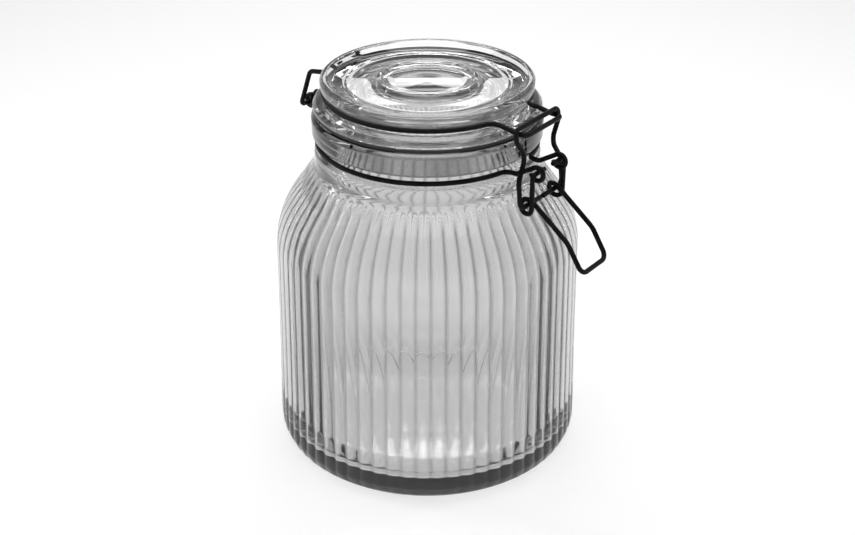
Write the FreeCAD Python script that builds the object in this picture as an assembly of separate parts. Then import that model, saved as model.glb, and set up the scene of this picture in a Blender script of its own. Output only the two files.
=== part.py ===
"""Clip-top preserving jar: ribbed clear glass, glass lid, rubber ring and bent-wire clip.

Millimetres, +Z up. The origin is the centre of the flat foot, on the jar's axis.
The clip is at the front (-Y) and the lid's wire hinge at the back (+Y).
"""
import FreeCAD, Part
import math
import os
from FreeCAD import Vector

# ---- driving dimensions: jar glass ------------------------------------------------------
BODY_R = 71.3            # over the ribs, just above the heel
TAPER = 1.7              # the sides draw in by this much up to the shoulder
NECK_Z = 140.8           # height of the neck's root
SHOULDER_SLOPE = 35.75   # degrees from upright
SHOULDER_BEND = 42.0     # radius between side and shoulder
FOOT_INSET = 8.4         # the flat foot's edge, in from the sides
FOOT_WIDTH = 6.9         # of the flat ring that the jar stands on
HEEL_Z = 5.0             # the ribs run out here
HEEL_RISE = 9.0          # height over which they grow to full depth
PUNT_RISE = 3.0          # the middle of the underside is drawn up
RIB_COUNT = 66
RIB_DEPTH = 0.85
RIB_FADE = 6.6           # the ribs run out over this height below the neck
WALL = 3.7               # side wall, under the ribs
FLOOR = 5.6              # glass in the bottom, above the punt
COLLAR_R = 51.8          # the neck, lid, ring and wires take their width from the collar
COLLAR_HEIGHT = 10.2
NECK_INSET = 1.0         # the neck's root, in from the collar
LIP_RISE = 7.4           # from the neck's root to the lower lip of the wire groove
GROOVE_DEPTH = 3.5
GROOVE_PLAY = 4.4        # height of the groove beyond the wire's thickness
MOUTH_WALL = 10.8        # from the collar in to the bore

# ---- driving dimensions: rubber ring and lid glass --------------------------------------
RING_THICK = 2.2
RING_INSET = 2.2         # its outer edge, in from the collar
RING_OVERHANG = 0.7      # its inner edge, in from the bore
FLANGE_INSET = 0.8       # the lid's flange, in from the collar
FLANGE_THICK = 3.7
LID_GROOVE_DEPTH = 6.2
RIM_INSET = 3.5          # the rim, in from the flange
RIM_WIDTH = 3.0
RIM_HEIGHT = 7.5         # from the lid wire's centreline up to the top
DISH_STEP = 7.8          # from the rim's inner edge to the small step round the dish
DISH_DEPTH = 3.2
BOSS_R = 22.6
BOSS_RISE = 2.7
BOSS_HOLLOW = 1.0        # the boss is a little lower in its middle
LID_GLASS = 5.0
PLUG_GAP = 2.6           # between the plug and the bore, so the lid can swing out
PLUG_DEPTH = 5.6         # how far the plug reaches below the flange
PLUG_WIDTH = 6.4

# ---- driving dimensions: wires ----------------------------------------------------------
WIRE = 2.2
RUNNING_GAP = 0.15       # between wires that turn in one another
SEAT_GAP = 0.1           # between a ring wire and its groove
PLAY = 0.8               # an eye or coil is this much wider than the wire in it, on each side
LID_WIRE_SEAT = 2.0      # from the flange up to the lid wire's underside

# hinge at the back: the lid wire's bar turns in two coils of the neck wire
HINGE_REACH = 14.5       # out from the collar
HINGE_RISE = 2.7         # up from the neck wire
HINGE_HALF = 10.0
HINGE_ARM = 2.4          # half the distance between the coils' arms
HINGE_TAIL = 5.0         # how far a coil's tail stands above the hinge bar
HINGE_LEAN = 6.3         # the loop's top leans in this much
LOOP_DROP = 1.7          # the loop's top, down from the lid wire

# nose at the front of the lid wire
NOSE_HALF = 13.5
NOSE_LEDGE = 3.7         # the nose reaches this far beyond the bail's bar
NOSE_DROP = 1.4          # down from the lid wire

# eyes of the neck wire, and the lever that turns in them
PIVOT_REACH_OUT = 12.7   # out from the collar
EYE_RISE = 2.8           # up from the neck wire
EYE_HALF = 8.7
EYE_SLACK = 0.3          # the latched clip pulls the lever up, close to the top of its eyes
LEVER_SIDE_GAP = 1.4     # between an eye and the lever's leg
LEVER_TIP = 3.0          # half the gap between the lever's two ends
COIL_DROP = 15.7         # from the pivot down to the coil's centre
COIL_GAP = 0.2           # between the turns of a coil
HANDLE_RUN = (20.3, 12.0)    # out and down, from the coil to the bend
HANDLE_HOOK = (7.8, 12.3)    # out and down, from the bend to the end
HANDLE_BEND = 12.0

# bail: hangs in the lever's coils and hooks over the nose
BAIL_TIP = 0.7
BAIL_SIDE_GAP = 1.8      # between the lever's leg and the bail's foot
BAIL_WAIST_HALF = 11.4
BAIL_TOP_GAP = 0.3       # between the nose's arm and the bail's leg
BAIL_TOP_REACH_OUT = 6.1     # its bar, out from the collar
BAIL_LEVELS = (0.35, 0.57, 0.68, 0.85)   # shares of its height where its legs bend

# ---- sizes that follow ------------------------------------------------------------------
WIRE_R = WIRE / 2
BODY_TOP_R = BODY_R - TAPER
NECK_R = COLLAR_R - NECK_INSET
GROOVE_R = COLLAR_R - GROOVE_DEPTH
MOUTH_R = COLLAR_R - MOUTH_WALL
LIP_Z = NECK_Z + LIP_RISE
COLLAR_Z = LIP_Z + WIRE + GROOVE_PLAY
MOUTH_Z = COLLAR_Z + COLLAR_HEIGHT
FLANGE_Z = MOUTH_Z + RING_THICK
FLANGE_R = COLLAR_R - FLANGE_INSET
LID_GROOVE_R = FLANGE_R - LID_GROOVE_DEPTH
RIM_R = FLANGE_R - RIM_INSET
PLUG_R = MOUTH_R - PLUG_GAP
NECK_WIRE_R = GROOVE_R + WIRE_R + SEAT_GAP
NECK_WIRE_Z = (LIP_Z + COLLAR_Z) / 2
LID_WIRE_R = LID_GROOVE_R + WIRE_R + SEAT_GAP
LID_WIRE_Z = FLANGE_Z + FLANGE_THICK + LID_WIRE_SEAT + WIRE_R
LID_Z = LID_WIRE_Z + RIM_HEIGHT
HINGE_Y = COLLAR_R + HINGE_REACH
HINGE_Z = NECK_WIRE_Z + HINGE_RISE
COIL_R = WIRE + PLAY
EYE_Z = NECK_WIRE_Z + EYE_RISE
PIVOT_REACH = COLLAR_R + PIVOT_REACH_OUT
PIVOT_Z = EYE_Z + COIL_R - WIRE - EYE_SLACK
LEVER_LEG_HALF = EYE_HALF + WIRE + LEVER_SIDE_GAP
HANDLE_HALF = LEVER_LEG_HALF - WIRE - COIL_GAP
COIL_REACH = PIVOT_REACH - COIL_R
COIL_Z = PIVOT_Z - COIL_DROP
# the pull of the clip holds the bail at the top of the lever's coil
BAIL_AXIS_Z = COIL_Z + COIL_R - WIRE - RUNNING_GAP
BAIL_FOOT_HALF = LEVER_LEG_HALF + WIRE + BAIL_SIDE_GAP
BAIL_TOP_HALF = NOSE_HALF + WIRE + BAIL_TOP_GAP
BAIL_TOP_REACH = COLLAR_R + BAIL_TOP_REACH_OUT
NOSE_REACH = BAIL_TOP_REACH + NOSE_LEDGE
NOSE_Z = LID_WIRE_Z - NOSE_DROP
BAIL_TOP_Z = NOSE_Z + WIRE + RUNNING_GAP


# ---- tools ------------------------------------------------------------------------------
def bend_at(before, corner, after, radius):
    """Start, middle and end of the arc that rounds a corner, no larger than its runs allow."""
    come = (before - corner).normalize()
    leave = (after - corner).normalize()
    half_turn = (math.pi - come.getAngle(leave)) / 2
    room = 0.495 * min((before - corner).Length, (after - corner).Length)
    setback = min(radius * math.tan(half_turn), room)
    radius = setback / math.tan(half_turn)
    inward = (come + leave).normalize()
    middle = corner + inward * (radius / math.cos(half_turn) - radius)
    return corner + come * setback, middle, corner + leave * setback


def bent_path(corners):
    """Edges of a route through corners (point, bend radius), as straight runs and tangent arcs."""
    edges = []
    last = corners[0][0]
    for i in range(1, len(corners) - 1):
        corner, radius = corners[i]
        if radius > 0:
            start, middle, end = bend_at(corners[i - 1][0], corner, corners[i + 1][0], radius)
        else:
            start, middle, end = corner, None, corner
        if (start - last).Length > 1e-6:
            edges.append(Part.LineSegment(last, start).toShape())
        if middle:
            edges.append(Part.Arc(start, middle, end).toShape())
        last = end
    edges.append(Part.LineSegment(last, corners[-1][0]).toShape())
    return edges


def turned(outline):
    """Solid of revolution from corners (radius, z, bend radius), which may start and end on the axis."""
    corners = [(Vector(r, 0, z), bend) for r, z, bend in outline]
    edges = bent_path(corners)
    edges.append(Part.LineSegment(corners[-1][0], corners[0][0]).toShape())
    return Part.Face(Part.Wire(edges)).revolve(Vector(0, 0, 0), Vector(0, 0, 1), 360)


def wire_along(edges):
    """Round wire swept along a chain of tangent edges."""
    path = Part.Wire(edges)
    start = edges[0].valueAt(edges[0].FirstParameter)
    heading = edges[0].tangentAt(edges[0].FirstParameter)
    section = Part.Wire(Part.Circle(start, heading, WIRE_R).toShape())
    sweep = Part.BRepOffsetAPI.MakePipeShell(path)
    sweep.add(section)
    sweep.build()
    sweep.makeSolid()
    return sweep.shape()


def mirrored(solid):
    """The solid joined to its mirror image across the jar's middle plane."""
    return solid.fuse(solid.mirror(Vector(0, 0, 0), Vector(1, 0, 0))).removeSplitter()


def front(half, reach, z):
    """A point on the left-hand side of the clip, given how far it stands in front of the axis."""
    return Vector(-half, -reach, z)


def ring_exit(ring_r, half, bend, z, side):
    """Bend where a ring wire turns outward into an arm; side is -1 at the front, 1 at the back."""
    away = math.sqrt((ring_r + bend) ** 2 - (half + bend) ** 2)
    centre = Vector(-(half + bend), side * away, z)
    on_ring = Vector(centre.x, centre.y, 0) * (ring_r / (ring_r + bend)) + Vector(0, 0, z)
    on_arm = Vector(-half, centre.y, z)
    toward = ((on_ring - centre) + (on_arm - centre)).normalize()
    return on_ring, centre + toward * bend, on_arm


def arc_about(centre, radius, start, turn):
    """Arc in a plane across the jar; angles in degrees, 0 outward at the front and 90 up."""
    points = []
    for share in (0, 0.5, 1):
        angle = math.radians(start + turn * share)
        points.append(centre + Vector(0, -math.cos(angle), math.sin(angle)) * radius)
    return Part.Arc(*points).toShape()


def over_the_top(corner, centre, radius):
    """Where a straight wire from a corner first touches the top of a round coil, and its angle."""
    span = centre - corner
    rise = math.degrees(math.atan2(span.z, -span.y))
    angle = 90 + rise + math.degrees(math.asin(radius / span.Length))
    turn = math.radians(angle)
    return centre + Vector(0, -math.cos(turn), math.sin(turn)) * radius, angle


# ---- glass ------------------------------------------------------------------------------
def ribbed_section(radius, depth, z):
    """Closed outline of side-by-side rounded ribs; with no depth it is a circle in as many arcs."""
    pitch = 2 * math.pi / RIB_COUNT
    valley = radius - depth
    arcs = []
    for i in range(RIB_COUNT):
        turn = i * pitch
        start = Vector(valley * math.cos(turn), valley * math.sin(turn), z)
        crest = Vector(radius * math.cos(turn + pitch / 2), radius * math.sin(turn + pitch / 2), z)
        end = Vector(valley * math.cos(turn + pitch), valley * math.sin(turn + pitch), z)
        arcs.append(Part.Arc(start, crest, end).toShape())
    return Part.Wire(arcs)


def make_jar():
    slope = math.tan(math.radians(SHOULDER_SLOPE))
    rib_z = HEEL_Z + HEEL_RISE
    fade_z = NECK_Z - RIB_FADE
    end_z = NECK_Z - 1.2

    def cone_r(z):
        return NECK_R + (NECK_Z - z) * slope

    # where the side would meet the shoulder, and the bend between them
    corner = Vector(BODY_TOP_R, 0, NECK_Z - (BODY_TOP_R - NECK_R) / slope)
    low = Vector(BODY_R, 0, rib_z)
    high = Vector(cone_r(fade_z), 0, fade_z)
    bend = Part.Arc(*bend_at(low, corner, high, SHOULDER_BEND))
    span = bend.LastParameter - bend.FirstParameter
    bend_sections = []
    for share in (0, 0.25, 0.5, 0.75, 1):
        point = bend.value(bend.FirstParameter + span * share)
        bend_sections.append(ribbed_section(point.x, RIB_DEPTH, point.z))

    heel_r = BODY_R - 1.4
    rib_start = ribbed_section(BODY_R, RIB_DEPTH, rib_z)
    fade_start = ribbed_section(cone_r(fade_z), RIB_DEPTH, fade_z)
    heel = Part.makeLoft([
        ribbed_section(heel_r, 0, HEEL_Z),
        ribbed_section(BODY_R - 0.3, RIB_DEPTH / 2, HEEL_Z + HEEL_RISE * 0.42),
        rib_start,
    ], True, False)
    side = Part.makeLoft([rib_start, bend_sections[0]], True, True)
    shoulder_bend = Part.makeLoft(bend_sections, True, False)
    shoulder = Part.makeLoft([bend_sections[-1], fade_start], True, True)
    fade = Part.makeLoft([
        fade_start,
        ribbed_section(cone_r((fade_z + end_z) / 2), RIB_DEPTH * 0.6, (fade_z + end_z) / 2),
        ribbed_section(cone_r(end_z), 0, end_z),
    ], True, False)

    foot_r = BODY_R - FOOT_INSET
    foot = turned([
        (0, 0, 0), (foot_r, 0, 1.5), (foot_r + 3.3, 1.5, 3.0), (heel_r, HEEL_Z, 0), (0, HEEL_Z, 0),
    ])
    neck = turned([
        (0, end_z, 0), (cone_r(end_z), end_z, 0), (NECK_R, NECK_Z, 3.5), (NECK_R - 0.1, LIP_Z - 2.0, 0.6),
        (NECK_R + 0.1, LIP_Z - 1.2, 0.3), (NECK_R - 0.3, LIP_Z + 0.2, 0.8), (GROOVE_R, LIP_Z + 1.2, 1.2),
        (GROOVE_R, COLLAR_Z - 0.6, 0.8), (COLLAR_R - 0.9, COLLAR_Z + 0.1, 0.6), (COLLAR_R, COLLAR_Z + 1.4, 1.0),
        (COLLAR_R, MOUTH_Z - 1.4, 1.0), (COLLAR_R - 1.5, MOUTH_Z, 0.9), (0, MOUTH_Z, 0),
    ])

    # inside: a straight taper, the shoulder at the wall's thickness, and the bore
    skin = WALL + RIB_DEPTH
    inner_low = BODY_R - skin
    inner_high = BODY_TOP_R - skin
    inner_neck_r = NECK_R - skin / math.cos(math.radians(SHOULDER_SLOPE))
    inner_corner_z = NECK_Z - (inner_high - inner_neck_r) / slope
    bore_z = NECK_Z + (inner_neck_r - MOUTH_R) / slope
    floor_z = PUNT_RISE + FLOOR
    hollow = turned([
        (0, floor_z + 0.3, 0), (inner_low * 0.38, floor_z + 0.2, 60.0), (inner_low - 11.5, floor_z - 0.6, 12.0),
        (inner_low - 2.0, floor_z + 4.0, 9.0), (inner_low, floor_z + 15.4, 8.0), (inner_high, inner_corner_z, 38.0),
        (MOUTH_R, bore_z, 8.0), (MOUTH_R, MOUTH_Z - 1.2, 1.0), (MOUTH_R + 1.0, MOUTH_Z, 0.4),
        (MOUTH_R + 1.0, MOUTH_Z + 5, 0), (0, MOUTH_Z + 5, 0),
    ])
    punt_r = foot_r - FOOT_WIDTH
    punt = turned([
        (0, -1, 0), (punt_r, -1, 0), (punt_r, 0.1, 0), (punt_r - 3.0, 0.6, 4.0), (punt_r * 0.55, PUNT_RISE * 0.8, 60.0),
        (0, PUNT_RISE, 0),
    ])
    outside = side.fuse([foot, heel, shoulder_bend, shoulder, fade, neck])
    return outside.cut([hollow, punt])


def make_lid():
    base = FLANGE_Z
    top = LID_Z
    dish = top - DISH_DEPTH
    dome = dish - LID_GLASS
    boss = dish + BOSS_RISE
    rim_in = RIM_R - RIM_WIDTH
    step_r = rim_in - DISH_STEP
    plug_in = PLUG_R - PLUG_WIDTH
    return turned([
        (0, dome, 0), (plug_in - 5.0, dome, 2.0), (plug_in - 2.0, dome - 2.5, 2.5), (plug_in, base - 2.6, 1.2),
        (plug_in + 1.2, base - PLUG_DEPTH + 0.7, 1.0), (PLUG_R - 3.0, base - PLUG_DEPTH, 1.0),
        (PLUG_R - 0.8, base - PLUG_DEPTH + 0.6, 1.1), (PLUG_R - 0.2, base - 3.1, 0.8), (PLUG_R, base, 0),
        (FLANGE_R - 0.7, base, 0.6), (FLANGE_R, base + 0.9, 0.7), (FLANGE_R, base + 2.0, 1.0),
        (FLANGE_R - 1.6, base + FLANGE_THICK, 1.0), (LID_GROOVE_R + 2.0, base + FLANGE_THICK + 0.5, 0.8),
        (LID_GROOVE_R, LID_WIRE_Z - WIRE_R - 0.7, 1.0), (LID_GROOVE_R, LID_WIRE_Z + WIRE_R - 0.5, 1.0),
        (LID_GROOVE_R + 0.8, LID_WIRE_Z + WIRE_R + 0.8, 0.8), (RIM_R - 0.3, LID_WIRE_Z + WIRE_R + 1.5, 0.8),
        (RIM_R, LID_WIRE_Z + WIRE_R + 2.8, 1.0), (RIM_R, top - 1.3, 1.0), (RIM_R - 1.2, top, 1.0),
        (rim_in, top, 1.0), (rim_in - 3.0, top - 1.7, 3.0), (step_r + 0.9, dish, 1.2), (step_r, dish, 0.6),
        (step_r - 0.9, dish - 0.3, 0.8), (BOSS_R + 2.4, dish - 0.3, 2.0), (BOSS_R + 1.0, dish + 0.3, 0.8),
        (BOSS_R, boss - 0.3, 0.8), (BOSS_R - 2.0, boss, 0.7), (BOSS_R - 3.0, boss - 0.9, 0.9),
        (BOSS_R - 5.0, boss - BOSS_HOLLOW - 0.2, 2.0), (0, boss - BOSS_HOLLOW, 0),
    ])


def make_ring():
    edge = 0.5
    inner = MOUTH_R - RING_OVERHANG
    outer = COLLAR_R - RING_INSET
    return turned([
        (inner, MOUTH_Z, 0), (outer, MOUTH_Z, edge), (outer, FLANGE_Z, edge), (inner, FLANGE_Z, 0),
    ])


# ---- wires ------------------------------------------------------------------------------
def make_neck_wire():
    """Round the neck: an open ring whose ends are eyes at the front, with the hinge coils behind."""
    on_ring, bend_middle, on_arm = ring_exit(NECK_WIRE_R, EYE_HALF, 4.0, NECK_WIRE_Z, -1)
    back = Vector(0, NECK_WIRE_R, NECK_WIRE_Z)
    half_ring = Part.Arc(back, Vector(-NECK_WIRE_R, 0, NECK_WIRE_Z), on_ring).toShape()
    turn_out = Part.Arc(on_ring, bend_middle, on_arm).toShape()
    corner = front(EYE_HALF, -on_arm.y + 2.2, NECK_WIRE_Z)
    centre = front(EYE_HALF, PIVOT_REACH, EYE_Z)
    touch, angle = over_the_top(corner, centre, COIL_R)
    eye = bent_path([(on_arm, 0), (corner, 6.0), (touch, 0)])
    eye.append(arc_about(centre, COIL_R, angle, -180 - angle + 8))
    ring = mirrored(wire_along([half_ring, turn_out] + eye))
    r = WIRE + RUNNING_GAP
    step = (WIRE + 0.4) / 13
    coil = wire_along(bent_path([
        (Vector(-HINGE_ARM, NECK_WIRE_R - 0.3, NECK_WIRE_Z), 0),
        (Vector(-HINGE_ARM, HINGE_Y + r, HINGE_Z + r + 1.1), r),
        (Vector(-HINGE_ARM - step * 4, HINGE_Y + r, HINGE_Z - r), r - 0.1),
        (Vector(-HINGE_ARM - step * 9, HINGE_Y - r, HINGE_Z - r), r - 0.1),
        (Vector(-HINGE_ARM - step * 13, HINGE_Y - r - 0.1, HINGE_Z + HINGE_TAIL), 0),
    ]))
    other = coil.mirror(Vector(0, 0, 0), Vector(1, 0, 0))
    return ring.fuse([coil, other])


def make_lid_wire():
    """Round the lid: a closed wire with the nose at the front and the hinge loop at the back."""
    front_ring, front_mid, front_arm = ring_exit(LID_WIRE_R, NOSE_HALF, 5.0, LID_WIRE_Z, -1)
    back_ring, back_mid, back_arm = ring_exit(LID_WIRE_R, HINGE_HALF, 4.0, LID_WIRE_Z, 1)
    hinge = bent_path([
        (Vector(0, HINGE_Y, HINGE_Z), 0),
        (Vector(-HINGE_HALF, HINGE_Y, HINGE_Z), 2.6),
        (Vector(-HINGE_HALF, HINGE_Y - HINGE_LEAN, LID_WIRE_Z - LOOP_DROP), 3.2),
        (Vector(-HINGE_HALF, back_arm.y + 1.5, LID_WIRE_Z), 6.0),
        (back_arm, 0),
    ])
    ring = [
        Part.Arc(back_arm, back_mid, back_ring).toShape(),
        Part.Arc(back_ring, Vector(-LID_WIRE_R, 0, LID_WIRE_Z), front_ring).toShape(),
        Part.Arc(front_ring, front_mid, front_arm).toShape(),
    ]
    nose = bent_path([
        (front_arm, 0),
        (front(NOSE_HALF, -front_arm.y + 1.2, LID_WIRE_Z), 6.0),
        (front(NOSE_HALF, BAIL_TOP_REACH - 1.6, NOSE_Z), 6.0),
        (front(NOSE_HALF, NOSE_REACH, NOSE_Z), 2.6),
        (front(0, NOSE_REACH, NOSE_Z), 0),
    ])
    return mirrored(wire_along(hinge + ring + nose))


def make_lever():
    """Pivots in the eyes, turns once round the bail's foot and ends in the handle."""
    low = COIL_Z - COIL_R
    high = COIL_Z + COIL_R
    left = COIL_REACH - COIL_R
    elbow = (COIL_REACH + HANDLE_RUN[0], COIL_Z - HANDLE_RUN[1])
    end = (elbow[0] + HANDLE_HOOK[0], elbow[1] - HANDLE_HOOK[1])
    run = Vector(0, HANDLE_RUN[0], -HANDLE_RUN[1])
    tilt = math.atan2(HANDLE_RUN[1], HANDLE_RUN[0]) + math.asin(COIL_R / run.Length)
    crown = COIL_REACH + COIL_R * math.tan(tilt / 2)
    shift = (LEVER_LEG_HALF - HANDLE_HALF) / 4
    bend = COIL_R - 0.1
    path = bent_path([
        (front(LEVER_TIP, PIVOT_REACH, PIVOT_Z), 0),
        (front(LEVER_LEG_HALF, PIVOT_REACH, PIVOT_Z), 2.6),
        (front(LEVER_LEG_HALF - shift * 0.4, PIVOT_REACH, low), bend),
        (front(LEVER_LEG_HALF - shift * 1.6, left, low), bend),
        (front(LEVER_LEG_HALF - shift * 2.8, left, high), bend),
        (front(HANDLE_HALF, crown, high), bend),
        (front(HANDLE_HALF, *elbow), HANDLE_BEND),
        (front(HANDLE_HALF, *end), 3.6),
        (front(0, *end), 0),
    ])
    return mirrored(wire_along(path))


def make_bail():
    """Hangs from the lever's coils; its waist passes under the nose and its bar lies over it."""
    rise = BAIL_TOP_Z - BAIL_AXIS_Z

    def level(share):
        return COIL_REACH + (BAIL_TOP_REACH - COIL_REACH) * share, BAIL_AXIS_Z + rise * share

    spread, waist, flare, head = BAIL_LEVELS
    path = bent_path([
        (front(BAIL_TIP, COIL_REACH, BAIL_AXIS_Z), 0),
        (front(BAIL_FOOT_HALF, COIL_REACH, BAIL_AXIS_Z), 3.0),
        (front(BAIL_FOOT_HALF, *level(spread)), 6.0),
        (front(BAIL_WAIST_HALF, *level(waist)), 5.0),
        (front(BAIL_WAIST_HALF, *level(flare)), 5.0),
        (front(BAIL_TOP_HALF, *level(head)), 4.0),
        (front(BAIL_TOP_HALF, *level(1)), 2.4),
        (front(0, *level(1)), 0),
    ])
    return mirrored(wire_along(path))


def main():
    os.makedirs("parts", exist_ok=True)
    parts = {
        "jar_glass": make_jar(),
        "lid_glass": make_lid(),
        "seal_ring": make_ring(),
        "neck_wire": make_neck_wire(),
        "lid_wire": make_lid_wire(),
        "lever_wire": make_lever(),
        "bail_wire": make_bail(),
    }
    for name, shape in parts.items():
        count = len(shape.Solids)
        print(name, "solids", count, "valid", shape.isValid(), "volume", round(shape.Volume, 1))
        shape.exportStep(os.path.join("parts", name + ".step"))


main()
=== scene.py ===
import bpy
import math
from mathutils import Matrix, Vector


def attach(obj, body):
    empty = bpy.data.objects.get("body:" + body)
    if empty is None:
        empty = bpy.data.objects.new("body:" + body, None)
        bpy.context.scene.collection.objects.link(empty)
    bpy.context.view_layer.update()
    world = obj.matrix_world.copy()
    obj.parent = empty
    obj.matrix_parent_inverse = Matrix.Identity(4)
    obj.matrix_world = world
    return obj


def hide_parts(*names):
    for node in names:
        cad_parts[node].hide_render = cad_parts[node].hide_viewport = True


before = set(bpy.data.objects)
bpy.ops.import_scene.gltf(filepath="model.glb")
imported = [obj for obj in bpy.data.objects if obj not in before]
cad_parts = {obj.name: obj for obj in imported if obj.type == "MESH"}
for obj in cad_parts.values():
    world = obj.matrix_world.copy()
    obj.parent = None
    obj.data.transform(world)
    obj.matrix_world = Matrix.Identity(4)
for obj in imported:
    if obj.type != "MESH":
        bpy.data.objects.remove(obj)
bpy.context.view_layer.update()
MM = 0.001

# ---- sizes, in millimetres, as in the construction ---------------------------------------
RIBS = 66
RIB_DEPTH = 0.85
RIB_TOP = (133.0, 5.4, 6.4)      # where the ribs begin to end, how soon their crests and their floors do
RIB_FOOT = (13.0, 9.5, 10.0)
WIRE_R = 1.1
CUT_END = ((0.0, 0.72), (0.10, 0.92), (0.28, 1.0))   # how far in from a wire's end, share of its radius
MOUTH_Z = 165.0
FLANGE_Z = 167.2
COLLAR_FACE = (155.2, 164.6)
RIBBED = (6.0, 138.0)


# ---- mesh tools -----------------------------------------------------------------------------
def make_object(name, verts, faces, material, body, node, sharp=()):
    mesh = bpy.data.meshes.new(name)
    mesh.from_pydata([[c * MM for c in v] for v in verts], [], faces)
    mesh.polygons.foreach_set("use_smooth", [True] * len(mesh.polygons))
    mesh.materials.append(material)
    mesh.update()
    obj = bpy.data.objects.new(name, mesh)
    bpy.context.scene.collection.objects.link(obj)
    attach(obj, body)
    if node:
        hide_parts(node)
    return obj


def rounded(points, step=0.35):
    """Points of a polyline whose corners (x, y, radius) are turned into arcs; works in 2-D and 3-D."""
    out = []
    count = len(points)
    for i in range(count):
        corner, radius = Vector(points[i][:-1]), points[i][-1]
        if i in (0, count - 1) or radius <= 0:
            out.append(corner)
            continue
        before, after = Vector(points[i - 1][:-1]), Vector(points[i + 1][:-1])
        come, leave = (before - corner), (after - corner)
        room = 0.499 * min(come.length, leave.length)
        come.normalize()
        leave.normalize()
        cosine = max(-1.0, min(1.0, come.dot(leave)))
        if cosine < -0.99999:
            out.append(corner)
            continue
        half = (math.pi - math.acos(cosine)) / 2
        setback = min(radius * math.tan(half), room)
        radius = setback / math.tan(half)
        inward = (come + leave).normalized()
        centre = corner + inward * (radius / math.cos(half))
        start, end = corner + come * setback, corner + leave * setback
        steps = max(3, int(math.ceil(2 * half * radius / step)))
        a, b = start - centre, end - centre
        for k in range(steps + 1):
            t = k / steps
            along = a * math.sin((1 - t) * 2 * half) + b * math.sin(t * 2 * half)
            out.append(centre + along / math.sin(2 * half))
    return out


def fill_in(points, longest):
    """The same polyline with no run longer than the given length."""
    out = [points[0]]
    for a, b in zip(points, points[1:]):
        n = max(1, int(math.ceil((b - a).length / longest)))
        out += [a.lerp(b, k / n) for k in range(1, n + 1)]
    return out


def lathe(name, outline, around, material, body, node, shape=None):
    """Closed turned piece; the outline runs from the axis to the axis, or closes on itself."""
    solid = outline[0][0] < 1e-6
    rows = outline[1:-1] if solid else outline
    verts, faces = [], []
    for r, z in rows:
        for k in range(around):
            angle = 2 * math.pi * k / around
            radius = shape(r, z, angle) if shape else r
            verts.append((radius * math.cos(angle), radius * math.sin(angle), z))
    n = len(rows)
    for i in range(n - 1 if solid else n):
        j = (i + 1) % n
        for k in range(around):
            m = (k + 1) % around
            faces.append((i * around + k, i * around + m, j * around + m, j * around + k))
    if solid:
        low = len(verts)
        verts.append((0, 0, outline[0][1]))
        verts.append((0, 0, outline[-1][1]))
        for k in range(around):
            m = (k + 1) % around
            faces.append((low, m, k))
            faces.append((low + 1, (n - 1) * around + k, (n - 1) * around + m))
    return make_object(name, verts, faces, material, body, node)


def tube(name, route, material, body, node, closed=False, sides=20, radius=WIRE_R):
    """Round wire along 3-D points, its cut ends slightly rounded."""
    pts = [p for i, p in enumerate(route) if i == 0 or (p - route[i - 1]).length > 1e-4]
    if closed and (pts[0] - pts[-1]).length < 1e-4:
        pts.pop()
    n = len(pts)
    tangents = []
    for i in range(n):
        a = pts[i - 1] if (i or closed) else pts[0]
        b = pts[(i + 1) % n] if (i < n - 1 or closed) else pts[-1]
        tangents.append((b - a).normalized())
    side = tangents[0].orthogonal().normalized()
    sides_of = []
    for i in range(n):
        side = (side - tangents[i] * side.dot(tangents[i])).normalized()
        sides_of.append(side.copy())
    if closed:
        # take out the twist that builds up round the loop
        back = (sides_of[-1] - tangents[0] * sides_of[-1].dot(tangents[0])).normalized()
        twist = math.atan2(back.cross(sides_of[0]).dot(tangents[0]), back.dot(sides_of[0]))
    rings = []
    for i in range(n):
        s = sides_of[i]
        if closed:
            angle = twist * i / n
            s = s * math.cos(angle) + tangents[i].cross(s) * math.sin(angle)
        rings.append((pts[i], s, tangents[i].cross(s), 1.0))
    if not closed:
        first, last = rings[0], rings[-1]
        into, back = tangents[0], tangents[-1]
        head = [(first[0] + into * depth, first[1], first[2], size) for depth, size in CUT_END]
        tail = [(last[0] - back * depth, last[1], last[2], size) for depth, size in reversed(CUT_END)]
        rings = head + rings[1:-1] + tail
    verts, faces = [], []
    for p, u, v, size in rings:
        for k in range(sides):
            angle = 2 * math.pi * k / sides
            verts.append(p + (u * math.cos(angle) + v * math.sin(angle)) * (radius * size))
    m = len(rings)
    for i in range(m if closed else m - 1):
        j = (i + 1) % m
        for k in range(sides):
            q = (k + 1) % sides
            faces.append((i * sides + k, i * sides + q, j * sides + q, j * sides + k))
    if not closed:
        faces.append(tuple(reversed(range(sides))))
        faces.append(tuple(range((m - 1) * sides, m * sides)))
    return make_object(name, verts, faces, material, body, node)


def mirror_route(route):
    """A half route that ends on the middle plane, carried on by its mirror image."""
    return route + [Vector((-p.x, p.y, p.z)) for p in reversed(route[:-1])]


def arc_points(centre, u, v, radius, start, turn, step=4.0):
    n = max(2, int(abs(turn) / step))
    out = []
    for k in range(n + 1):
        a = math.radians(start + turn * k / n)
        out.append(centre + (u * math.cos(a) + v * math.sin(a)) * radius)
    return out


# ---- materials --------------------------------------------------------------------------------
def new_material(name):
    material = bpy.data.materials.new(name)
    material.use_nodes = True
    tree = material.node_tree
    tree.nodes.clear()
    out = tree.nodes.new("ShaderNodeOutputMaterial")
    return material, tree, out


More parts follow.
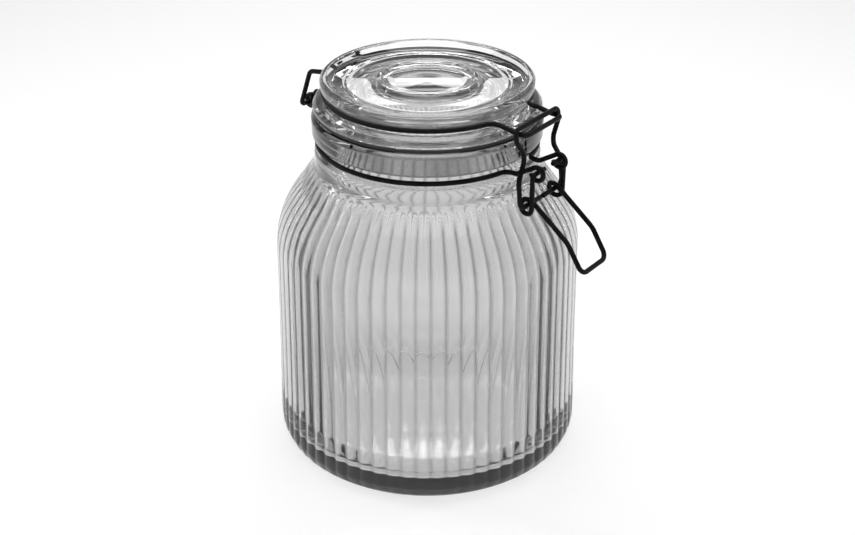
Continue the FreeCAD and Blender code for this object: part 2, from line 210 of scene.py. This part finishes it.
def noise(tree, scale, detail=2.0, stretch=None):
    coord = tree.nodes.new("ShaderNodeTexCoord")
    tex = tree.nodes.new("ShaderNodeTexNoise")
    tex.inputs["Scale"].default_value = scale
    tex.inputs["Detail"].default_value = detail
    if stretch:
        mapping = tree.nodes.new("ShaderNodeMapping")
        mapping.inputs["Scale"].default_value = stretch
        tree.links.new(coord.outputs["Object"], mapping.inputs["Vector"])
        tree.links.new(mapping.outputs["Vector"], tex.inputs["Vector"])
    else:
        tree.links.new(coord.outputs["Object"], tex.inputs["Vector"])
    return tex


def remap(tree, value, to_min, to_max, from_min=0.0, from_max=1.0):
    """The value carried from one range to another, held at both ends."""
    node = tree.nodes.new("ShaderNodeMapRange")
    node.inputs["From Min"].default_value = from_min
    node.inputs["From Max"].default_value = from_max
    node.inputs["To Min"].default_value = to_min
    node.inputs["To Max"].default_value = to_max
    tree.links.new(value, node.inputs["Value"])
    return node.outputs["Result"]


def add_bump(tree, shader, height, strength, distance):
    bump = tree.nodes.new("ShaderNodeBump")
    bump.inputs["Strength"].default_value = strength
    bump.inputs["Distance"].default_value = distance
    tree.links.new(height.outputs["Fac"], bump.inputs["Height"])
    tree.links.new(bump.outputs["Normal"], shader.inputs["Normal"])


def multiply(tree, value, other):
    """The value times a number or another value."""
    node = tree.nodes.new("ShaderNodeMath")
    node.operation = "MULTIPLY"
    tree.links.new(value, node.inputs[0])
    if isinstance(other, float):
        node.inputs[1].default_value = other
    else:
        tree.links.new(other, node.inputs[1])
    return node.outputs[0]


def glass_material(name, bump_scale, bump_strength, stretch, tint, density, with_painted_shade=False):
    """Clear pressed glass: faint waves from the mould; lamps shine through it. Optionally its colour is
    darkened by painted shade from the tone attribute.
    """
    material, tree, out = new_material(name)
    shader = tree.nodes.new("ShaderNodeBsdfPrincipled")
    shader.inputs["Base Color"].default_value = tint
    # Painted shade: the base colour is darkened towards black by the tone attribute, its strength varied at
    # random by noise.
    if with_painted_shade:
        tone = tree.nodes.new("ShaderNodeAttribute")
        tone.attribute_name = "tone"
        painted_shade_mix = tree.nodes.new("ShaderNodeMix")
        painted_shade_mix.data_type = "RGBA"
        painted_shade_mix.inputs["A"].default_value = tint
        painted_shade_mix.inputs["B"].default_value = (0, 0, 0, 1)
        uneven = noise(tree, 22.0, 3.0, (1, 1, 0.25))
        share = remap(tree, uneven.outputs["Fac"], 0.6, 1.0, 0.35, 0.62)
        tree.links.new(multiply(tree, tone.outputs["Fac"], share), painted_shade_mix.inputs["Factor"])
        tree.links.new(painted_shade_mix.outputs["Result"], shader.inputs["Base Color"])
    shader.inputs["Transmission Weight"].default_value = 1.0
    shader.inputs["IOR"].default_value = 1.52
    waves = noise(tree, bump_scale, 2.0, stretch)
    add_bump(tree, shader, waves, bump_strength, 0.0004)
    smear = noise(tree, 40.0, 3.0)
    spread = remap(tree, smear.outputs["Fac"], 0.0, 0.035, 0.35, 0.75)
    tree.links.new(spread, shader.inputs["Roughness"])
    clear = tree.nodes.new("ShaderNodeBsdfTransparent")
    clear.inputs["Color"].default_value = (0.93, 0.93, 0.93, 1)
    path = tree.nodes.new("ShaderNodeLightPath")
    mix = tree.nodes.new("ShaderNodeMixShader")
    tree.links.new(path.outputs["Is Shadow Ray"], mix.inputs[0])
    tree.links.new(shader.outputs[0], mix.inputs[1])
    tree.links.new(clear.outputs[0], mix.inputs[2])
    tree.links.new(mix.outputs[0], out.inputs["Surface"])
    depth = tree.nodes.new("ShaderNodeVolumeAbsorption")
    depth.inputs["Color"].default_value = (0.02, 0.02, 0.02, 1)
    depth.inputs["Density"].default_value = density
    tree.links.new(depth.outputs[0], out.inputs["Volume"])
    return material


def rubber_material():
    material, tree, out = new_material("black_rubber")
    shader = tree.nodes.new("ShaderNodeBsdfPrincipled")
    tone = noise(tree, 90.0, 4.0)
    ramp = tree.nodes.new("ShaderNodeValToRGB")
    ramp.color_ramp.elements[0].color = (0.010, 0.010, 0.010, 1)
    ramp.color_ramp.elements[1].color = (0.028, 0.028, 0.028, 1)
    tree.links.new(tone.outputs["Fac"], ramp.inputs["Fac"])
    tree.links.new(ramp.outputs["Color"], shader.inputs["Base Color"])
    shader.inputs["Roughness"].default_value = 0.55
    grain = noise(tree, 900.0, 3.0)
    add_bump(tree, shader, grain, 0.25, 0.0002)
    tree.links.new(shader.outputs[0], out.inputs["Surface"])
    return material


def wire_material():
    """Steel wire with a thin black coat: fine orange-peel, a little wear."""
    material, tree, out = new_material("black_wire")
    shader = tree.nodes.new("ShaderNodeBsdfPrincipled")
    tone = noise(tree, 260.0, 5.0)
    ramp = tree.nodes.new("ShaderNodeValToRGB")
    ramp.color_ramp.elements[0].position = 0.35
    ramp.color_ramp.elements[0].color = (0.002, 0.002, 0.002, 1)
    ramp.color_ramp.elements[1].position = 0.80
    ramp.color_ramp.elements[1].color = (0.012, 0.012, 0.012, 1)
    tree.links.new(tone.outputs["Fac"], ramp.inputs["Fac"])
    tree.links.new(ramp.outputs["Color"], shader.inputs["Base Color"])
    shader.inputs["Specular IOR Level"].default_value = 0.12
    tree.links.new(remap(tree, tone.outputs["Fac"], 0.36, 0.62), shader.inputs["Roughness"])
    grain = noise(tree, 1400.0, 2.0)
    add_bump(tree, shader, grain, 0.2, 0.0001)
    tree.links.new(shader.outputs[0], out.inputs["Surface"])
    return material


# Strength of the painted shade: the darker band on the collar and the dark lines in the rib valleys.
COLLAR_PAINTED_SHADE = 0.95
VALLEY_PAINTED_SHADE = 0.85
JAR_GLASS = glass_material("clear_jar_glass", 16.0, 0.10, (1, 1, 0.35), (0.90, 0.90, 0.90, 1), 26.0, True)
LID_GLASS = glass_material("clear_lid_glass", 30.0, 0.10, (1, 1, 1), (0.94, 0.94, 0.94, 1), 10.0)
RUBBER = rubber_material()
WIRE = wire_material()


# ---- jar --------------------------------------------------------------------------------------
def crest_outline():
    """Outside of the jar over the ribs, from the axis underneath to the mouth."""
    return [
        (0, 3.0, 0), (30, 2.4, 60), (54.0, 0.5, 4), (57.0, 0, 2.0), (62.9, 0, 1.5), (66.2, 1.55, 3),
        (69.6, 4.6, 4.5), (71.2, 9.0, 7), (71.3, 14.0, 0), (70.35, 60.0, 0), (69.55, 114.7, 42.0),
        (50.9, 140.8, 3.5), (50.7, 146.2, 0.6),
        (50.9, 147.0, 0.35), (50.5, 148.4, 0.8), (48.3, 149.4, 1.2), (48.3, 154.2, 0.8), (51.0, 154.9, 0.5),
        (51.8, 156.2, 1.0), (51.85, 163.4, 1.2),
        (50.2, MOUTH_Z, 0.9), (42.0, MOUTH_Z, 1.0), (41.0, 163.6, 1.0),
        (41.0, 150.0, 5.0), (42.6, 141.7, 6.0), (55.5, 128.0, 12.0), (65.1, 112.0, 38.0), (65.4, 90.0, 0),
        (66.2, 24.0, 8.0), (64.5, 12.5, 9.0), (55.0, 8.0, 12.0), (25.0, 8.8, 60.0), (0, 8.9, 0),
    ]


def outside_radius(z):
    """Roughly the outer radius at a height, to tell the outside from the inside."""
    if z < 110:
        return 67.5
    return 67.5 - (z - 110) * 0.6


def rib_shape(r, z, angle):
    """Ribs stand side by side; their ends are rounded at the heel and just under the neck."""
    if r < 60 and z < 20 or z > 139.6 or r < outside_radius(z) - 1.0:
        return r
    u = (angle * RIBS / (2 * math.pi)) % 1.0 * 2 - 1
    past, crest_run, floor_run = 0.0, 1.0, 1.0
    if z > RIB_TOP[0]:
        past, crest_run, floor_run = z - RIB_TOP[0], RIB_TOP[1], RIB_TOP[2]
    elif z < RIB_FOOT[0]:
        past, crest_run, floor_run = RIB_FOOT[0] - z, RIB_FOOT[1], RIB_FOOT[2]
    height = max(0.0, 1 - (past / crest_run) ** 2 - u * u)
    base = r - RIB_DEPTH * (1 - min(1.0, past / floor_run))
    return max(base, min(r, base + RIB_DEPTH * height))


def painted_glass_shade(x, y, z):
    """Painted shade on the glass at a point: a darker band on the thick collar and thin dark lines in the
    rib valleys, standing in for the darkening that thick glass and refraction give.
    """
    radius = math.hypot(x, y)
    if COLLAR_FACE[0] < z < COLLAR_FACE[1] and radius > 45:
        return COLLAR_PAINTED_SHADE
    if not RIBBED[0] < z < RIBBED[1] or radius < outside_radius(z):
        return 0.0
    u = abs((math.atan2(y, x) * RIBS / (2 * math.pi)) % 1.0 * 2 - 1)
    ends = min(1.0, (z - RIBBED[0]) / 8.0, (RIBBED[1] - z) / 6.0)
    return VALLEY_PAINTED_SHADE * ends * max(0.0, (u - 0.6) / 0.4)


def make_jar():
    pts = fill_in(rounded(crest_outline(), 0.5), 2.0)
    outline = [(p.x, p.y) for p in pts]
    jar = lathe("jar_glass_clear", outline, RIBS * 8, JAR_GLASS, "jar", "jar_glass",
                rib_shape)
    # Painted shade stored per vertex in the tone attribute: collar band and rib-valley lines.
    tone = jar.data.attributes.new("tone", "FLOAT", "POINT")
    for i, vertex in enumerate(jar.data.vertices):
        tone.data[i].value = painted_glass_shade(*(vertex.co / MM))
    return jar


# ---- lid --------------------------------------------------------------------------------------
def make_lid():
    b = FLANGE_Z
    outline = [
        (0, b + 6.1, 0), (20.0, b + 6.1, 3), (27.0, b + 5.9, 2.0), (30.0, b + 3.6, 2.5),
        (32.0, b - 2.6, 1.2), (33.2, b - 4.9, 1.0),
        (35.4, b - 5.6, 1.0), (37.6, b - 5.0, 1.1), (38.2, b - 3.1, 0.8), (38.4, b - 0.2, 0.4),
        (39.6, b, 0.4), (50.3, b, 0.7), (51.0, b + 0.9, 0.7), (51.0, b + 2.0, 1.0),
        (49.4, b + 3.7, 1.0), (46.8, b + 4.2, 0.8),
        (45.0, b + 5.0, 1.0), (44.8, b + 7.4, 1.0), (45.6, b + 8.7, 0.8), (47.2, b + 9.4, 0.8),
        (47.5, b + 10.6, 1.0), (47.55, b + 13.0, 1.2), (46.4, b + 14.3, 1.1), (44.6, b + 14.3, 1.0),
        (41.5, b + 12.6, 3.0), (37.6, b + 11.1, 1.2), (36.6, b + 11.1, 0.8), (35.8, b + 10.8, 1.0),
        (25.0, b + 10.8, 3.0), (23.6, b + 11.4, 0.8), (22.6, b + 13.2, 0.9), (20.6, b + 13.5, 0.7),
        (19.6, b + 12.6, 1.0), (17.5, b + 12.3, 2.0), (0, b + 12.5, 0),
    ]
    pts = fill_in(rounded(outline, 0.3), 2.5)
    outline = [(p.x, p.y) for p in pts]
    return lathe("lid_glass_clear", outline, 288, LID_GLASS, "lid", "lid_glass")


def make_ring():
    low, high = MOUTH_Z + 0.02, FLANGE_Z - 0.02
    outline = [
        (40.3, low, 0), (49.3, low, 0.5), (49.6, low + 0.5, 0.4),
        (49.6, high - 0.5, 0.4), (49.2, high, 0.5), (40.3, high, 0.2),
    ]
    pts = rounded(outline, 0.15)
    outline = [(p.x, p.y) for p in pts]
    return lathe("seal_ring_rubber", outline, 192, RUBBER, "lid", "seal_ring")


# ---- wires ------------------------------------------------------------------------------------
def ring_exit(ring_r, half, bend, z, side):
    """Where a wire ring bends away into an arm: the bend's centre and its two ends."""
    away = math.sqrt((ring_r + bend) ** 2 - (half + bend) ** 2)
    centre = Vector((-(half + bend), side * away, z))
    flat = Vector((centre.x, centre.y, 0))
    on_ring = flat * (ring_r / (ring_r + bend)) + Vector((0, 0, z))
    on_arm = Vector((-half, centre.y, z))
    return centre, on_ring, on_arm


def between(centre, start, end, n=14):
    """Short arc about a centre, from one point to another."""
    a, b = start - centre, end - centre
    angle = a.angle(b)
    out = []
    for k in range(n + 1):
        along = a * math.sin((1 - k / n) * angle) + b * math.sin(k / n * angle)
        out.append(centre + along / math.sin(angle))
    return out


def ring_points(radius, z, start, end, step=2.0):
    n = max(2, int(abs(end - start) / step))
    out = []
    for k in range(n + 1):
        turn = math.radians(start + (end - start) * k / n)
        out.append(Vector((radius * math.cos(turn), radius * math.sin(turn), z)))
    return out


def front(half, reach, z, bend=None):
    """A point on the clip's left half: half width, reach to the front, height and bend radius."""
    p = (-half, -reach, z)
    return p if bend is None else p + (bend,)


def as_angle(p):
    return math.degrees(math.atan2(p.y, p.x)) % 360


PIVOT = (64.5, 154.8)
COIL = (61.5, 139.1)
BAIL_AXIS_Z = 139.75
HINGE = (66.3, 154.2)
NECK_RING_R, NECK_RING_Z = 49.5, 151.5
NECK_EYE_HALF, EYE_R = 8.7, 3.0
HINGE_COIL_R = 2.35
LID_RING_R, LID_RING_Z = 46.0, 174.0
NOSE = (61.6, 172.6)
COIL_R = 3.0
LEVER_FOOT_HALF, HANDLE_HALF = 12.3, 9.9
HANDLE_BEND = (81.8, 127.1)
HANDLE_END = (89.6, 114.8)
BAIL_TOP = (57.9, 174.95)
BAIL_HALF, WAIST_HALF, BAIL_BAR_HALF = 16.3, 11.4, 16.0


def make_neck_wire():
    z = NECK_RING_Z
    centre, on_ring, on_arm = ring_exit(NECK_RING_R, NECK_EYE_HALF, 4.0, z, -1)
    eye_centre = Vector(front(NECK_EYE_HALF, PIVOT[0], PIVOT[1] - 0.5))
    corner = Vector(front(NECK_EYE_HALF, -on_arm.y + 2.2, z))
    span = eye_centre - corner
    rise = math.degrees(math.atan2(span.z, -span.y))
    start = 90 + rise + math.degrees(math.asin(EYE_R / span.length))
    out, up = Vector((0, -1, 0)), Vector((0, 0, 1))
    eye = arc_points(eye_centre, out, up, EYE_R, start, -180 - start + 8, 6.0)
    arm = rounded([tuple(on_arm) + (0,), tuple(corner) + (6.0,), tuple(eye[0]) + (0,)], 0.4)
    side_ring = ring_points(NECK_RING_R, z, 90, as_angle(on_ring))
    half = side_ring + between(centre, on_ring, on_arm)[1:] + arm[1:] + eye[1:]
    route = [Vector((-p.x, p.y, p.z)) for p in reversed(half)] + half[1:]
    tube("neck_wire_ring", route, WIRE, "jar", "neck_wire")
    for side, hand in ((1, "left"), (-1, "right")):
        make_hinge_coil(side, hand)


def make_hinge_coil(side, hand):
    """The neck wire's end behind the neck, bent once round the lid wire's hinge bar."""
    r = HINGE_COIL_R
    back, height = HINGE
    coil = rounded([
        (-2.4 * side, 49.2, NECK_RING_Z, 0), (-2.4 * side, back + r, height + r + 1.1, r),
        (-3.2 * side, back + r, height - r, r - 0.1), (-4.2 * side, back - r, height - r, r - 0.1),
        (-5.0 * side, back - r - 0.1, height + 5.0, 0),
    ], 0.3)
    tube("neck_wire_coil_" + hand, coil, WIRE, "jar", None)


def make_lid_wire():
    z = LID_RING_Z
    back, height = HINGE
    reach, nose_z = NOSE
    fc, f_ring, f_arm = ring_exit(LID_RING_R, 13.5, 5.0, z, -1)
    bc, b_ring, b_arm = ring_exit(LID_RING_R, 10.0, 4.0, z, 1)
    hinge = rounded([
        (0, back, height, 0), (-10.0, back, height, 2.6), (-10.0, 60.0, 172.3, 3.2),
        (-10.0, b_arm.y + 1.5, z, 6.0), tuple(b_arm) + (0,),
    ], 0.3)
    nose = rounded([
        tuple(f_arm) + (0,), front(13.5, -f_arm.y + 1.2, z, 6.0), front(13.5, 56.3, nose_z, 6.0),
        front(13.5, reach, nose_z, 2.6), front(0, reach, nose_z, 0),
    ], 0.3)
    back_turn = between(bc, b_arm, b_ring)
    front_turn = between(fc, f_ring, f_arm)
    side_ring = ring_points(LID_RING_R, z, as_angle(b_ring), as_angle(f_ring))
    half = hinge + back_turn[1:] + side_ring[1:] + front_turn[1:] + nose[1:]
    route = half + [Vector((-p.x, p.y, p.z)) for p in reversed(half[1:-1])]
    tube("lid_wire_ring", route, WIRE, "lid", "lid_wire", closed=True)


def make_lever():
    c = COIL_R
    low, high, left = COIL[1] - c, COIL[1] + c, COIL[0] - c
    run = Vector((HANDLE_BEND[0] - COIL[0], HANDLE_BEND[1] - COIL[1]))
    tilt = math.atan2(-run.y, run.x) + math.asin(c / run.length)
    crown = COIL[0] + c * math.tan(tilt / 2)
    shift = (LEVER_FOOT_HALF - HANDLE_HALF) / 4
    half = rounded([
        front(3.0, *PIVOT, 0), front(LEVER_FOOT_HALF, *PIVOT, 2.6),
        front(LEVER_FOOT_HALF - shift * 0.4, PIVOT[0], low, c - 0.1),
        front(LEVER_FOOT_HALF - shift * 1.6, left, low, c - 0.1),
        front(LEVER_FOOT_HALF - shift * 2.8, left, high, c - 0.1), front(HANDLE_HALF, crown, high, c - 0.1),
        front(HANDLE_HALF, *HANDLE_BEND, 12.0), front(HANDLE_HALF, *HANDLE_END, 3.6),
        front(0, *HANDLE_END, 0),
    ], 0.3)
    tube("lever_wire_handle", mirror_route(half), WIRE, "lever", "lever_wire")


def make_bail():
    top, top_z = BAIL_TOP
    rise = top_z - BAIL_AXIS_Z

    def level(share):
        return COIL[0] + (top - COIL[0]) * share, BAIL_AXIS_Z + rise * share

    half = rounded([
        front(0.7, COIL[0], BAIL_AXIS_Z, 0), front(BAIL_HALF, COIL[0], BAIL_AXIS_Z, 3.0),
        front(BAIL_HALF, *level(0.35), 6.0), front(WAIST_HALF, *level(0.57), 5.0),
        front(WAIST_HALF, *level(0.68), 5.0), front(BAIL_BAR_HALF, *level(0.85), 4.0),
        front(BAIL_BAR_HALF, *level(1), 2.4), front(0, *level(1), 0),
    ], 0.3)
    tube("bail_wire_loop", mirror_route(half), WIRE, "bail", "bail_wire")


make_jar()
make_lid()
make_ring()
make_neck_wire()
make_lid_wire()
make_lever()
make_bail()


# ---- studio -----------------------------------------------------------------------------------
AZIMUTH, PITCH, DISTANCE = math.radians(-53.0), math.radians(28.37), 0.70252
AIM = Vector((0, 0, 0.08492))
toward = Vector((math.sin(AZIMUTH), -math.cos(AZIMUTH), 0))
to_right = Vector((math.cos(AZIMUTH), math.sin(AZIMUTH), 0))


def place_at(right, back, up):
    """A studio position given from the camera's side of the jar, in metres, from the jar's foot."""
    return to_right * right - toward * back + Vector((0, 0, up))


def background_rays(tree):
    """One for the rays that show the background: the lens's own and those sent on by gloss or glass."""
    path = tree.nodes.new("ShaderNodeLightPath")
    rays = path.outputs["Is Camera Ray"]
    for kind in ("Is Glossy Ray", "Is Transmission Ray"):
        either = tree.nodes.new("ShaderNodeMath")
        either.operation = "MAXIMUM"
        tree.links.new(rays, either.inputs[0])
        tree.links.new(path.outputs[kind], either.inputs[1])
        rays = either.outputs[0]
    return rays


def make_floor():
    verts, faces = [(0, 0, 0)], []
    around = 96
    for r in (150, 400, 900, 1400):
        for k in range(around):
            a = 2 * math.pi * k / around
            verts.append((r * math.cos(a), r * math.sin(a), 0))
    for k in range(around):
        faces.append((0, 1 + k, 1 + (k + 1) % around))
    for i in range(3):
        for k in range(around):
            m = (k + 1) % around
            inner, outer = 1 + i * around, 1 + (i + 1) * around
            faces.append((inner + k, outer + k, outer + m, inner + m))
    mesh = bpy.data.meshes.new("studio_floor")
    mesh.from_pydata([[c * MM for c in v] for v in verts], [], faces)
    material, tree, out = new_material("pale_floor")
    shader = tree.nodes.new("ShaderNodeBsdfDiffuse")
    shader.inputs["Color"].default_value = (0.80, 0.80, 0.80, 1)
    glow = tree.nodes.new("ShaderNodeEmission")
    add = tree.nodes.new("ShaderNodeAddShader")
    tree.links.new(multiply(tree, background_rays(tree), FLOOR_GLOW), glow.inputs["Strength"])
    tree.links.new(shader.outputs[0], add.inputs[0])
    tree.links.new(glow.outputs[0], add.inputs[1])
    tree.links.new(add.outputs[0], out.inputs["Surface"])
    mesh.materials.append(material)
    obj = bpy.data.objects.new("studio_floor", mesh)
    bpy.context.scene.collection.objects.link(obj)


def area_light(name, place, aim, size, size_y, watts):
    data = bpy.data.lights.new(name, "AREA")
    data.shape = "RECTANGLE"
    data.size = size
    data.size_y = size_y
    data.energy = watts
    obj = bpy.data.objects.new(name, data)
    obj.location = place
    obj.rotation_euler = (Vector(aim) - Vector(place)).to_track_quat("-Z", "Y").to_euler()
    bpy.context.scene.collection.objects.link(obj)
    return obj


def make_world():
    world = bpy.data.worlds.new("studio")
    world.use_nodes = True
    tree = world.node_tree
    tree.nodes.clear()
    out = tree.nodes.new("ShaderNodeOutputWorld")
    room = tree.nodes.new("ShaderNodeBackground")
    coord = tree.nodes.new("ShaderNodeTexCoord")
    split = tree.nodes.new("ShaderNodeSeparateXYZ")
    tree.links.new(coord.outputs["Generated"], split.inputs[0])
    ramp = tree.nodes.new("ShaderNodeValToRGB")
    stops = ramp.color_ramp.elements
    for place, level in ROOM:
        stop = stops.new(place)
        stop.color = (level, level, level, 1)
    stops.remove(stops[0])
    stops.remove(stops[-1])
    tree.links.new(split.outputs["Z"], ramp.inputs["Fac"])
    tree.links.new(ramp.outputs["Color"], room.inputs["Color"])
    tree.links.new(room.outputs[0], out.inputs["Surface"])
    bpy.context.scene.world = world


FLOOR_GLOW = 0.40
ROOM = ((0.001, 0.95), (0.15, 0.55), (0.35, 0.22), (0.60, 0.06), (0.99, 0.05))   # white horizon, dim above
make_floor()
make_world()
area_light("back_softbox", place_at(0.02, 0.95, 0.825), place_at(0, 0, 0.14), 0.50, 0.06, 1.5)
area_light("back_strip", place_at(0.0, 0.95, 0.56), place_at(0, 0, 0.14), 0.50, 0.03, 0.16)
area_light("top_softbox", place_at(0, 0.06, 1.10), place_at(0, 0, 0), 1.10, 1.10, 8.5)
area_light("left_strip", place_at(-0.55, 0.10, 0.42), place_at(0, 0, 0.09), 0.03, 0.7, 0.6)
area_light("right_strip", place_at(0.60, 0.15, 0.40), place_at(0, 0, 0.09), 0.025, 0.7, 0.5)

camera_data = bpy.data.cameras.new("camera")
camera_data.sensor_width = 36.0
camera_data.lens = 62.87
camera_data.clip_start = 0.01
camera = bpy.data.objects.new("camera", camera_data)
camera.location = AIM + (toward * math.cos(PITCH) + Vector((0, 0, math.sin(PITCH)))) * DISTANCE
camera.rotation_euler = (AIM - camera.location).to_track_quat("-Z", "Y").to_euler()
bpy.context.scene.collection.objects.link(camera)
bpy.context.scene.camera = camera

scene = bpy.context.scene
scene.view_settings.view_transform = "Standard"
scene.cycles.max_bounces = 32
scene.cycles.transmission_bounces = 32
scene.cycles.glossy_bounces = 12
scene.cycles.transparent_max_bounces = 32
